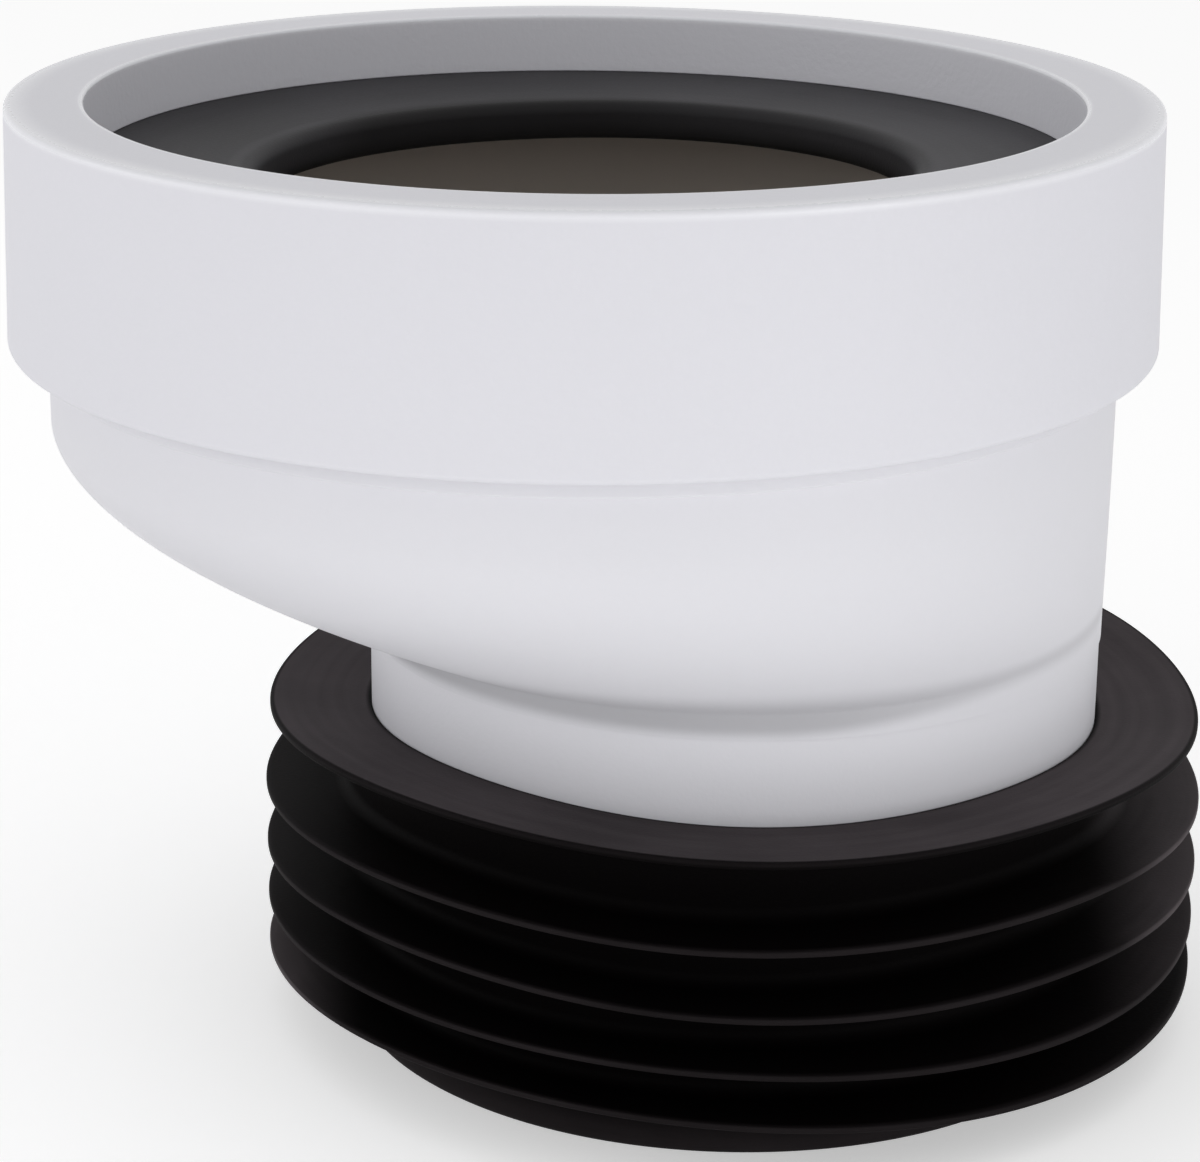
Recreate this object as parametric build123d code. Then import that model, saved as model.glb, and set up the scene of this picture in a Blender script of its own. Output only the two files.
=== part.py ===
"""Offset toilet pan connector: a moulded body with an eccentric bowl, a clip-on cap, and two rubber seals.

Millimetres, +Z up. The origin is on the outlet's axis, at the top edge of the uppermost sealing fin.
The inlet's axis stands to the -X side of the outlet's, by the offset.
"""

import os

from build123d import *

# Lay-out of the two ends
OFFSET = 19.2  # from the outlet's axis to the inlet's axis
BARE_SPIGOT = 10.0  # plain spigot that shows between the bowl and the outlet seal
BOWL_HEIGHT = 23.6  # rounded part of the bowl
BARE_SOCKET = 9.7  # plain socket wall between the bowl and the cap

# Connector body
WALL = 3.0
SPIGOT_R = 45.8
NECK_STEP = 0.2  # the bowl ends in a fine step on the spigot
COVE_GAIN = 1.3  # hollow curve where the bowl runs out onto the spigot
COVE_HEIGHT = 3.7
COVE_CURVE = 1.6  # how soon the hollow curve settles on the spigot: 1 is a cone
BOWL_CURVE = 1.78  # how late the bowl turns in: 1 is a cone, more is rounder
BOWL_STEPS = 8
COVE_STEPS = 3
FLOOR_RISE = 0.8  # the bowl's inside ends this much higher than its outside
COLLAR_PROUD = 0.7  # fine collar on the socket, just under the cap
COLLAR_DROP = 2.5
COLLAR_HEIGHT = 4.0
BEAD_PROUD = 1.7  # bead that the cap snaps over
BEAD_HEIGHT = 3.0
BEAD_LEVEL = 7.5  # from the cap's lower edge to the bead's underside
RIM_ROUND = 0.5
SPIGOT_ROUND = 0.8

# Clip-on cap
CAP_R = 70.0
CAP_TAPER = 0.7  # how much narrower the cap is at its top
CAP_HEIGHT = 28.9
CAP_LAND = 10.1  # width of the flat top, before the taper
CAP_TOP_THICK = 3.0
CAP_SKIRT_THICK = 2.8
CAP_LIP_THICK = 3.0  # inner wall that holds the inlet seal down
CAP_LIP_DEPTH = 7.65
CAP_ROUND = 0.6
CAP_FOOT_ROUND = 0.8
HOOK_HEIGHT = 2.6
HOOK_RAMP = 1.4

# Inlet seal
INLET_SEAL_THICK = 3.0
INLET_SEAL_PROUD = 1.2  # how far its edge stands out past the socket's wall
DIAPHRAGM_THICK = 2.4
DIAPHRAGM_DISH = 0.45
LIP_R = 39.8
LIP_THICK = 2.2
LIP_DEPTH = 4.85  # from the shoulder to the end of the lip
SHOULDER_ROUND = 1.6
LIP_ROUND = 0.6

# Outlet seal
SLEEVE_WALL = 3.1
FIN_R = 59.3
FIN_EDGE = 0.7
FIN_ROOT = 2.0
FIN_SWEEP = 0.8  # the fins rise a little towards their edge
FIN_SPACING = (8.3, 7.9, 6.5)  # from the uppermost sealing fin down
FIN_FILLET = 0.5
FLANGE_R = 58.6
FLANGE_EDGE = 1.6
FLANGE_ROOT = 2.4
FLANGE_SWEEP = 1.0
FLANGE_LEVEL = 9.5  # top of the flange where it meets the spigot
FLANGE_ROUND = 0.6
FOOT_LENGTH = 8.8  # from the lowest fin's top edge to the end of the foot
FOOT_LIP = 3.5  # rubber under the end of the spigot
FOOT_STEP = 0.5  # how far the foot's hole stands back from the spigot's
FOOT_ROUND = 1.2

# Clearances
SLIDE_CLEARANCE = 0.05  # rubber sleeve on the spigot
SNAP_CLEARANCE = 0.3  # cap's hook round the socket and its bead

# Radii that follow
BORE_R = SPIGOT_R - WALL
NECK_R = SPIGOT_R + NECK_STEP
SKIRT_BORE_R = CAP_R - CAP_SKIRT_THICK
SOCKET_R = SKIRT_BORE_R - SNAP_CLEARANCE - BEAD_PROUD
SOCKET_BORE_R = SOCKET_R - WALL
CAP_BORE_R = CAP_R - CAP_LAND
SLEEVE_BORE_R = SPIGOT_R + SLIDE_CLEARANCE
SLEEVE_R = SLEEVE_BORE_R + SLEEVE_WALL

# Heights that follow
NECK_Z = FLANGE_LEVEL + BARE_SPIGOT
BOWL_LOW_Z = NECK_Z + COVE_HEIGHT
BOWL_TOP_Z = BOWL_LOW_Z + BOWL_HEIGHT
CAP_LOW_Z = BOWL_TOP_Z + BARE_SOCKET
CAP_TOP_Z = CAP_LOW_Z + CAP_HEIGHT
SEAL_FACE_Z = CAP_TOP_Z - CAP_LIP_DEPTH
RIM_Z = SEAL_FACE_Z - INLET_SEAL_THICK
BEAD_Z = CAP_LOW_Z + BEAD_LEVEL
FIN_LEVELS = [-sum(FIN_SPACING[:i]) for i in range(len(FIN_SPACING) + 1)]
FOOT_Z = FIN_LEVELS[-1] - FOOT_LENGTH
SPIGOT_END_Z = FOOT_Z + FOOT_LIP


def turned(corners, axis_x):
    """A ring turned about the upright axis at axis_x, from the (radius, height, rounding) of its corners."""
    points = [(radius, height) for radius, height, _ in corners]
    roundings = [rounding for _, _, rounding in corners]
    outline = FilletPolyline(*points, radius=roundings, close=True)
    ring = revolve(make_face(Plane.XZ * outline), Axis.Z)
    return Pos(axis_x, 0, 0) * ring


def bowl_circles(top_r, low_r, low_right, low_z):
    """Level circles from the socket down: they shrink late, and their right-hand sides stay in line."""
    circles = []
    for step in range(BOWL_STEPS + 1):
        share = step / BOWL_STEPS
        radius = top_r - (top_r - low_r) * share**BOWL_CURVE
        right = (1 - share) * (top_r - OFFSET) + share * low_right
        height = BOWL_TOP_Z + share * (low_z - BOWL_TOP_Z)
        circles.append(Pos(right - radius, 0, height) * Circle(radius))
    return circles


def cove_circles():
    """Level circles of the hollow curve that carries the bowl's underside down onto the spigot."""
    circles = []
    for step in range(1, COVE_STEPS + 1):
        share = step / COVE_STEPS
        radius = NECK_R + COVE_GAIN * (1 - share) ** COVE_CURVE
        height = BOWL_LOW_Z - share * COVE_HEIGHT
        circles.append(Pos(NECK_R - radius, 0, height) * Circle(radius))
    return circles


def upright_cylinder(radius, low_z, high_z):
    """A plain cylinder on the outlet's axis."""
    return Pos(0, 0, low_z) * extrude(Circle(radius), high_z - low_z)


def make_connector_body():
    """Socket, eccentric bowl and spigot, moulded as one hollow piece."""
    collar_low = CAP_LOW_Z - COLLAR_DROP
    collar_top = collar_low + COLLAR_HEIGHT
    bead_top = BEAD_Z + BEAD_HEIGHT
    socket = turned(
        [
            (SOCKET_BORE_R, BOWL_TOP_Z, 0),
            (SOCKET_BORE_R, RIM_Z, RIM_ROUND),
            (SOCKET_R, RIM_Z, RIM_ROUND),
            (SOCKET_R, bead_top + BEAD_PROUD, 0),
            (SOCKET_R + BEAD_PROUD, bead_top, 0),
            (SOCKET_R + BEAD_PROUD, BEAD_Z, 0),
            (SOCKET_R, BEAD_Z, 0),
            (SOCKET_R, collar_top, 0),
            (SOCKET_R + COLLAR_PROUD, collar_top, 0),
            (SOCKET_R + COLLAR_PROUD, collar_low, 0),
            (SOCKET_R, collar_low, 0),
            (SOCKET_R, BOWL_TOP_Z, 0),
        ],
        -OFFSET,
    )
    bowl_floor_z = BOWL_LOW_Z + FLOOR_RISE
    bowl = loft(bowl_circles(SOCKET_R, NECK_R + COVE_GAIN, NECK_R, BOWL_LOW_Z) + cove_circles())
    bowl -= loft(bowl_circles(SOCKET_BORE_R, BORE_R, BORE_R, bowl_floor_z))
    bowl -= upright_cylinder(BORE_R, NECK_Z, bowl_floor_z)
    spigot = turned(
        [
            (BORE_R, NECK_Z, 0),
            (SPIGOT_R, NECK_Z, 0),
            (SPIGOT_R, SPIGOT_END_Z, SPIGOT_ROUND),
            (BORE_R, SPIGOT_END_Z, SPIGOT_ROUND),
        ],
        0,
    )
    return socket + bowl + spigot


def make_socket_cap():
    """Cap that snaps over the socket's bead and clamps the inlet seal on the socket's rim."""
    hook_r = SOCKET_R + COLLAR_PROUD + SNAP_CLEARANCE
    hook_top = BEAD_Z - SNAP_CLEARANCE
    hook_low = hook_top - HOOK_HEIGHT
    channel_top = CAP_TOP_Z - CAP_TOP_THICK
    lip_outer_r = CAP_BORE_R + CAP_LIP_THICK
    return turned(
        [
            (CAP_R, CAP_LOW_Z, CAP_FOOT_ROUND),
            (CAP_R - CAP_TAPER, CAP_TOP_Z, CAP_ROUND),
            (CAP_BORE_R, CAP_TOP_Z, CAP_ROUND),
            (CAP_BORE_R, SEAL_FACE_Z, 0),
            (lip_outer_r, SEAL_FACE_Z, 0),
            (lip_outer_r, channel_top, 0),
            (SKIRT_BORE_R, channel_top, 0),
            (SKIRT_BORE_R, hook_top, 0),
            (hook_r, hook_top, 0),
            (hook_r, hook_low, 0),
            (SKIRT_BORE_R, hook_low - HOOK_RAMP, 0),
            (SKIRT_BORE_R, CAP_LOW_Z, 0),
        ],
        -OFFSET,
    )


def make_inlet_seal():
    """Rubber ring clamped under the cap: a wide diaphragm with a lip turned down round its hole."""
    outer_r = SOCKET_R + INLET_SEAL_PROUD
    lip_back_r = LIP_R + LIP_THICK
    shoulder_z = SEAL_FACE_Z - DIAPHRAGM_DISH
    lip_end_z = shoulder_z - LIP_DEPTH
    return turned(
        [
            (outer_r, SEAL_FACE_Z, 0),
            (CAP_BORE_R, SEAL_FACE_Z, 0),
            (LIP_R, shoulder_z, SHOULDER_ROUND),
            (LIP_R, lip_end_z, LIP_ROUND),
            (lip_back_r, lip_end_z, LIP_ROUND),
            (lip_back_r, shoulder_z - DIAPHRAGM_THICK, LIP_ROUND),
            (SOCKET_BORE_R, RIM_Z, 0),
            (outer_r, RIM_Z, 0),
        ],
        -OFFSET,
    )


def fin_corners(level):
    """Corners of one sealing fin, from its upper root out to its edge and back to its lower root."""
    root_top = level - FIN_SWEEP
    return [
        (SLEEVE_R, root_top, FIN_FILLET),
        (FIN_R, level, 0),
        (FIN_R, level - FIN_EDGE, 0),
        (SLEEVE_R, root_top - FIN_ROOT, FIN_FILLET),
    ]


def make_outlet_seal():
    """Rubber sleeve on the spigot, with a flange, sealing fins and a foot that hooks under the spigot's end."""
    flange_top = FLANGE_LEVEL + FLANGE_SWEEP
    foot_hole_r = BORE_R + FOOT_STEP
    corners = [
        (SLEEVE_BORE_R, FLANGE_LEVEL, 0),
        (FLANGE_R, flange_top, FLANGE_ROUND),
        (FLANGE_R, flange_top - FLANGE_EDGE, FLANGE_ROUND),
        (SLEEVE_R, FLANGE_LEVEL - FLANGE_ROOT, FIN_FILLET),
    ]
    for level in FIN_LEVELS:
        corners += fin_corners(level)
    corners += [
        (SLEEVE_R, FOOT_Z, FOOT_ROUND),
        (foot_hole_r, FOOT_Z, FOOT_ROUND),
        (foot_hole_r, SPIGOT_END_Z, 0),
        (SLEEVE_BORE_R, SPIGOT_END_Z, 0),
    ]
    return turned(corners, 0)


PIECES = {
    "connector_body": make_connector_body,
    "socket_cap": make_socket_cap,
    "inlet_seal": make_inlet_seal,
    "outlet_seal": make_outlet_seal,
}

os.makedirs("parts", exist_ok=True)
for name, make in PIECES.items():
    piece = make()
    export_step(piece, f"parts/{name}.step")
    print(f"{name}: {piece.volume / 1000:.1f} cm3, {len(piece.faces())} faces")
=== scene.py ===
# %% [markdown]
# # Offset toilet pan connector
# The part joins the spout of a toilet pan to a soil pipe that isn't quite under it. It has four pieces:
# a white moulded body, a white cap that clips over its socket, a black rubber ring in the cap's mouth
# and a black rubber sleeve with fins on the outlet.
#
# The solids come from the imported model, which fixes every place and size. Here each of them gets a
# finer skin, made by the rule that the real piece follows, and a finish. Every piece keeps the place
# that the frame gives it.

import math

import bpy
from mathutils import Matrix, Vector


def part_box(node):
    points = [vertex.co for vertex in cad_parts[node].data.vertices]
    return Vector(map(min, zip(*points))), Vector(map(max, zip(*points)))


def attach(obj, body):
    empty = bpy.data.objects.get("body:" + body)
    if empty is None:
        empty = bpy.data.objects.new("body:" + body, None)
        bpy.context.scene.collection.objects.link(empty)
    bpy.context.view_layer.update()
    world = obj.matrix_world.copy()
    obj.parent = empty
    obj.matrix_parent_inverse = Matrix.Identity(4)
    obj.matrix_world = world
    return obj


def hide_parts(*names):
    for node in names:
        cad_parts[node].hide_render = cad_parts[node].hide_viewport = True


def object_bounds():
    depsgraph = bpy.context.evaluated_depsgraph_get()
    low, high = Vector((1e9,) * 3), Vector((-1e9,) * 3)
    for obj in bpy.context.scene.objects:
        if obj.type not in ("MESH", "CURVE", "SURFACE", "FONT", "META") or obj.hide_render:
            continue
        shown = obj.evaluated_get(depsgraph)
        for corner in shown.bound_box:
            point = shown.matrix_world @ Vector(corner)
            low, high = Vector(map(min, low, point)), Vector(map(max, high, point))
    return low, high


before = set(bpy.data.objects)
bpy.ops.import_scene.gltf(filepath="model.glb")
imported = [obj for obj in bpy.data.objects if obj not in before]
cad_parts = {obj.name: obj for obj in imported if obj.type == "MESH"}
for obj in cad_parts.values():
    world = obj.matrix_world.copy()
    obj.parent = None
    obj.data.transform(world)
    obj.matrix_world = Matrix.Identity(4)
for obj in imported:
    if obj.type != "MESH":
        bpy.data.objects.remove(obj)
cad_low, cad_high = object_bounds()
print("nodes:", sorted(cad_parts))

# %% [markdown]
# ## Where the pieces are
# The axes, the outer radii and most of the heights can be read from the boxes of the solids, so they
# are measured and not typed in again. Blender works in metres, and a plumber in millimetres: `MM` turns
# one into the other. What the next cell measures is in metres, and the sizes of the pieces further down
# are in millimetres. A name that ends in `_R` is a radius, and one in `_X` or `_Z` a place.

# %% Measure the solids
MM = 0.001

cap_low, cap_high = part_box("socket_cap")
body_low, body_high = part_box("connector_body")
ring_low, ring_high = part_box("inlet_seal")
sleeve_low, sleeve_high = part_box("outlet_seal")

INLET_X = (cap_low.x + cap_high.x) / 2
OUTLET_X = (sleeve_low.x + sleeve_high.x) / 2
FLOOR_Z = sleeve_low.z
print("size in mm:", [round(side / MM, 1) for side in cad_high - cad_low])
print(f"inlet axis at {INLET_X / MM:.1f} mm, outlet axis at {OUTLET_X / MM:.1f} mm")
print(f"cap {(cap_high.x - cap_low.x) / MM:.1f} mm across, its top {(cap_high.z - FLOOR_Z) / MM:.1f} mm up")

# %% [markdown]
# ## Nodes written as sums
# Materials and geometry trees are both made of nodes. Adding them one by one fills a script with links,
# so one small class holds an output socket. Sums and products of such wires add the Math nodes, and its
# `node` method adds any other node: first its settings, then the values or links of its sockets.


# %% A wire between nodes
class Wire:
    """An output socket of a node tree, or with no socket just the tree."""

    def __init__(self, tree, socket=None):
        self.tree = tree
        self.socket = socket

    def node(self, kind, settings=(), sockets=(), output=0):
        """Adds a node of this kind and gives one of its outputs."""
        made = self.tree.nodes.new(kind)
        for name, value in dict(settings).items():
            if name == "stops":
                self.set_stops(made.color_ramp, value)
            else:
                setattr(made, name, value)
        for name, value in dict(sockets).items():
            if isinstance(value, Wire):
                self.tree.links.new(value.socket, made.inputs[name])
            else:
                made.inputs[name].default_value = value
        return Wire(self.tree, made.outputs[output] if len(made.outputs) else None)

    @staticmethod
    def set_stops(ramp, stops):
        """Gives a colour ramp its (place, grey) stops."""
        while len(ramp.elements) < len(stops):
            ramp.elements.new(1.0)
        for element, (place, grey) in zip(ramp.elements, stops):
            element.position = place
            element.color = (grey, grey, grey, 1.0)

    def output(self, name):
        """Another output of the node that this wire comes from."""
        return Wire(self.tree, self.socket.node.outputs[name])

    def maths(self, operation, first, second=0.0):
        return self.node("ShaderNodeMath", {"operation": operation}, {0: first, 1: second})

    def vector_maths(self, operation, first, second):
        return self.node("ShaderNodeVectorMath", {"operation": operation}, {0: first, 1: second})

    def __add__(self, other):
        return self.maths("ADD", self, other)

    def __radd__(self, other):
        return self.maths("ADD", other, self)

    def __sub__(self, other):
        return self.maths("SUBTRACT", self, other)

    def __rsub__(self, other):
        return self.maths("SUBTRACT", other, self)

    def __mul__(self, other):
        return self.maths("MULTIPLY", self, other)

    def __rmul__(self, other):
        return self.maths("MULTIPLY", other, self)

    def __truediv__(self, other):
        return self.maths("DIVIDE", self, other)

    def __rtruediv__(self, other):
        return self.maths("DIVIDE", other, self)

    def __pow__(self, other):
        return self.maths("POWER", self, other)


print("a Wire adds Math nodes for + - * / and **")

# %% [markdown]
# ## Tools for the finishes
# The finish of a real piece changes from place to place. A few small tools are enough to say how: noise,
# a soft step between two limits, a mix of two colours, and a fine grain raised as bump. A place is read
# as Object coordinates, so what is painted there stays on the part when it is turned.
#
# Each skin also carries a tone from 0 to 1 that its section gives it, and each finish reads the tone in
# its own way.

# %% Tools for the finishes
GRAIN_STRENGTH = 0.5


def start_material(name):
    """A new material with its Principled shader: gives the material, a wire for its tree and the shader."""
    material = bpy.data.materials.new(name)
    material.use_nodes = True
    return material, Wire(material.node_tree), material.node_tree.nodes["Principled BSDF"]


def feed(tree, node, socket, wire):
    tree.tree.links.new(wire.socket, node.inputs[socket])


def noise(tree, place, scale, detail=2.0, roughness=0.5):
    """Grey noise from 0 to 1 at a place, with about scale spots in a metre."""
    sockets = {"Vector": place, "Scale": scale, "Detail": detail, "Roughness": roughness}
    return tree.node("ShaderNodeTexNoise", {"noise_dimensions": "3D"}, sockets, "Fac")


def mix_colour(tree, share, first, second):
    """Two colours mixed: the colour sockets of a Mix node are 6, 7 and its third output."""
    return tree.node("ShaderNodeMix", {"data_type": "RGBA"}, {0: share, 6: first, 7: second}, 2)


def fade(tree, value, start, end):
    """0 before start and 1 after end, with a soft change between them: start may be the larger one."""
    sockets = {"Value": value, "From Min": start, "From Max": end}
    return tree.node("ShaderNodeMapRange", {"interpolation_type": "SMOOTHSTEP"}, sockets)


def tone_of(tree):
    """The tone that the section gave this part of the skin, from 0 to 1."""
    return tree.node("ShaderNodeAttribute", {"attribute_name": "tone"}, output="Fac")


def raise_grain(tree, shader, grain, depth):
    """Raises a grain on the surface, as bump of this depth."""
    sockets = {"Strength": GRAIN_STRENGTH, "Distance": depth, "Height": grain}
    feed(tree, shader, "Normal", tree.node("ShaderNodeBump", sockets=sockets))


def set_gloss(shader, ior, level):
    shader.inputs["IOR"].default_value = ior
    shader.inputs["Specular IOR Level"].default_value = level


print("tools for the finishes: noise, mix_colour, fade, tone_of, raise_grain")

# %% [markdown]
# ## White polypropylene
# The body and the cap are moulded in white polypropylene: a cool white with a soft sheen, never a
# mirror. Two things keep it from looking like paint. The colour wavers a little over the surface, and
# the cap, which came out of an eroded mould, has a fine grain that breaks up its highlights.

# %% White plastic in general
CLOUD_SCALE = 22.0
SPECK_SCALE = 900.0
SPECK_SHARE = 0.25
CLOUD_SHEEN = 0.10
GRAIN_SHEEN = 0.08
GRAIN_HARSHNESS = 0.6
PLASTIC_IOR = 1.49
PLASTIC_GLOSS = 0.25


def white_plastic(name, deep, pale, sheen, grain_depth, grain_scale):
    """Moulded white plastic with wavering colour and sheen, and a grain of its own depth.

    Gives the material with wires for its place, colour and roughness, so that a piece can add to them.
    """
    material, tree, shader = start_material(name)
    place = tree.node("ShaderNodeTexCoord", output="Object")
    clouds = noise(tree, place, CLOUD_SCALE, detail=3.0)
    specks = noise(tree, place, SPECK_SCALE, detail=1.0)
    grain = noise(tree, place, grain_scale, roughness=GRAIN_HARSHNESS)
    colour = mix_colour(tree, clouds * (1 - SPECK_SHARE) + specks * SPECK_SHARE, deep, pale)
    roughness = sheen + CLOUD_SHEEN * (clouds - 0.5) + GRAIN_SHEEN * (grain - 0.5)
    raise_grain(tree, shader, grain, grain_depth)
    set_gloss(shader, PLASTIC_IOR, PLASTIC_GLOSS)
    return material, tree, shader, place, colour, roughness


print(f"white plastic: clouds {1 / CLOUD_SCALE / MM:.0f} mm and specks {1 / SPECK_SCALE / MM:.1f} mm wide")

# %% [markdown]
# On the body the tone marks the inside, which is painted a darker, warmer white than the outside: painted
# shade, warmed as bounced light would warm it. The painted shade in the hollow under the bowl has no tone
# of its own. It follows the height, and towards the two ends of the hollow it lies higher and is fainter
# than in front. Limits that a value fades between are pairs in millimetres.

# %% The body's finish
INSIDE_PAINTED_SHADE = (0.63, 0.58, 0.53, 1)
CREASE_PAINTED_SHADE = 0.31
CREASE_LOW = (19.0, 21.2)
CREASE_TOP = (27.5, 22.2)
CREASE_LEFT_END = (-10.0, -38.0)
CREASE_RIGHT_END = (4.0, 38.0)
LEFT_RISE, RIGHT_RISE = 0.6, 2.6
LEFT_LOSS, RIGHT_LOSS = 0.28, 0.52
TOP_RISE_SHARE = 0.6
TOP_RIGHT_DROP = 1.9
BLACK = (0.0, 0.0, 0.0, 1)


def painted_crease_shade(tree, across, height):
    """The share of painted shade in the hollow under the bowl, from a place in mm."""
    left, right = fade(tree, across, *CREASE_LEFT_END), fade(tree, across, *CREASE_RIGHT_END)
    rise = LEFT_RISE * left + RIGHT_RISE * right
    from_below = fade(tree, height, CREASE_LOW[0] + rise, CREASE_LOW[1] + rise)
    top_start, top_end = CREASE_TOP[0] - TOP_RIGHT_DROP * right, CREASE_TOP[1] + TOP_RISE_SHARE * rise
    from_above = fade(tree, height, top_start, top_end)
    return from_below * from_above * (1.0 - LEFT_LOSS * left - RIGHT_LOSS * right) * CREASE_PAINTED_SHADE


def body_finish():
    """White outside; painted shade makes the inside darker and warmer and the hollow under the bowl grey."""
    material, tree, shader, place, colour, roughness = white_plastic(
        "body_polypropylene",
        deep=(0.747, 0.743, 0.782, 1),
        pale=(0.777, 0.773, 0.812, 1),
        sheen=0.50,
        grain_depth=0.04 * MM,
        grain_scale=1600.0,
    )
    parts = tree.node("ShaderNodeSeparateXYZ", sockets={"Vector": place})
    # Painted shade: the hollow under the bowl is mixed towards black.
    grey = painted_crease_shade(tree, parts / MM, parts.output("Z") / MM)
    outside = mix_colour(tree, grey, colour, BLACK)
    # Painted shade: the inside is mixed towards a darker, warmer white.
    feed(tree, shader, "Base Color", mix_colour(tree, tone_of(tree), outside, INSIDE_PAINTED_SHADE))
    feed(tree, shader, "Roughness", roughness)
    return material


body_white = body_finish()
print("white finish:", body_white.name)

# %% [markdown]
# On the cap the tone marks the land and, most of all, its edges. The edges get a painted highlight, a paler
# white, and are worn smooth. The flat of the land gets a little painted light, which fades at its left end.

# %% The cap's finish
# A paler white for the painted highlight on the cap's edges.
EDGE_PAINTED_HIGHLIGHT = (0.85, 0.85, 0.89, 1)
EDGE_POLISH = 0.30
LAND_LEFT_END = (-50.0, -75.0)


def cap_finish():
    """Grained white, with painted light on the land, less at its left end, and a painted highlight on smooth
    edges.
    """
    material, tree, shader, place, colour, roughness = white_plastic(
        "cap_polypropylene",
        deep=(0.750, 0.746, 0.792, 1),
        pale=(0.780, 0.776, 0.822, 1),
        sheen=0.55,
        grain_depth=0.10 * MM,
        grain_scale=1100.0,
    )
    across = tree.node("ShaderNodeSeparateXYZ", sockets={"Vector": place}) / MM
    tone = tone_of(tree)
    # Painted light: the land and, most of all, the edges are mixed towards a paler white.
    painted_light = tone * (1.0 - fade(tree, across, *LAND_LEFT_END) * (1.0 - tone))
    feed(tree, shader, "Base Color", mix_colour(tree, painted_light, colour, EDGE_PAINTED_HIGHLIGHT))
    feed(tree, shader, "Roughness", roughness - EDGE_POLISH * tone)
    return material


cap_white = cap_finish()
print("white finish:", cap_white.name)

# %% [markdown]
# ## Black rubber
# Both seals are black rubber. It is nearly black where it is clean, and greyer where talc from the mould and
# dust from handling cling to it. Here the tone says how grey a place is: the open faces of the ring and of
# the flange most, the rims of the fins and the foot a little, and the walls between the fins not at all. On
# the flange's face that grey is partly a painted sheen, and on the rims of the fins partly a painted
# highlight. The grey lies in patches, and is drawn out in faint arcs round the piece's own axis as a finger
# wipes it.

# %% Rubber in general
PATCH_SCALE = 38.0
PATCH_HARSHNESS = 0.6
PATCH_SHARE = 0.6
WIPE_SCALE = 60.0
WIPE_STRETCH = 9.0
DUST_STOPS = [(0.34, 0.55), (0.66, 1.0)]
DUST_SHEEN = 0.10
RUBBER_GRAIN_SCALE = 2400.0
RUBBER_GRAIN_DEPTH = 0.06 * MM
RUBBER_IOR = 1.5


def black_rubber(name, clean, grey_colour, axis_x, sheen, gloss, grey_rule):
    """Rubber turned grey in soft patches, wiped into faint rings round an axis, where a given rule puts it.

    The rule takes (tree, across, height) and gives the share of grey at a place, from its place in mm:
    dust, and on the sleeve painted light as well.
    """
    material, tree, shader = start_material(name)
    place = tree.node("ShaderNodeTexCoord", output="Object")
    centred = tree.vector_maths("SUBTRACT", place, (axis_x, 0.0, 0.0))
    parts = tree.node("ShaderNodeSeparateXYZ", sockets={"Vector": centred})
    across, deep, height = parts, parts.output("Y"), parts.output("Z")
    radius = (across * across + deep * deep) ** 0.5
    drawn_out = {"X": radius * WIPE_STRETCH, "Y": height * WIPE_STRETCH, "Z": across}
    wiped = noise(tree, tree.node("ShaderNodeCombineXYZ", sockets=drawn_out), WIPE_SCALE, detail=3.0)
    patches = noise(tree, place, PATCH_SCALE, detail=4.0, roughness=PATCH_HARSHNESS)
    grain = noise(tree, place, RUBBER_GRAIN_SCALE, roughness=GRAIN_HARSHNESS)
    mottled = patches * PATCH_SHARE + wiped * (1 - PATCH_SHARE)
    dust = tree.node("ShaderNodeValToRGB", {"stops": DUST_STOPS}, {"Fac": mottled})
    # On the sleeve this share holds painted light in places as well as dust.
    share = dust * grey_rule(tree, across / MM, height / MM)
    feed(tree, shader, "Base Color", mix_colour(tree, share, clean, grey_colour))
    feed(tree, shader, "Roughness", sheen + DUST_SHEEN * dust + GRAIN_SHEEN * (grain - 0.5))
    raise_grain(tree, shader, grain, RUBBER_GRAIN_DEPTH)
    set_gloss(shader, RUBBER_IOR, gloss)
    return material


print(f"rubber: patches of dust {1 / PATCH_SCALE / MM:.0f} mm wide")

# %% [markdown]
# The two seals differ in where they are grey. On the ring the dust is even, and the ring is a little greyer
# to the right and at the ends of the lip. On the sleeve, painted light makes the right-hand ends of the
# upper fins and the left-hand ends of the fins paler, most of all on the lowest one, as a painted highlight.
# Across is measured from the piece's own axis.

# %% The two rubber finishes
RING_DUST = 0.95
RING_GREY_PER_MM = 0.003
LIP_RIGHT_END, LIP_RIGHT_GAIN = (2.0, 26.0), 1.7
LIP_LEFT_END, LIP_LEFT_GAIN = (-26.0, -38.0), 3.2
UPPER_FINS_LOW, UPPER_FINS_TOP = (-21.0, -12.0), (6.0, 3.0)
LOWEST_FIN = (-18.0, -23.0)
RIGHT_TIPS, RIGHT_TIP_PAINTED_LIGHT = (41.0, 56.0), 1.5
LEFT_TIPS, LEFT_TIP_PAINTED_LIGHT, LOWEST_TIP_PAINTED_HIGHLIGHT = (-45.0, -58.0), 0.10, 1.4
FLANGE_SIDES = (10.0, 45.0)
TONE_DUST_AND_PAINTED_LIGHT, FLANGE_SIDE_GAIN = 0.76, 0.16


def ring_dust(tree, across, height):
    """By its tone, and greyer to the right. The lip, with its low tone, is greyer at its ends."""
    tone = tone_of(tree)
    right = LIP_RIGHT_GAIN * fade(tree, across, *LIP_RIGHT_END)
    lip_ends = right + LIP_LEFT_GAIN * fade(tree, across, *LIP_LEFT_END)
    return tone * (RING_DUST + RING_GREY_PER_MM * across + lip_ends * (1.0 - tone))


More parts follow.
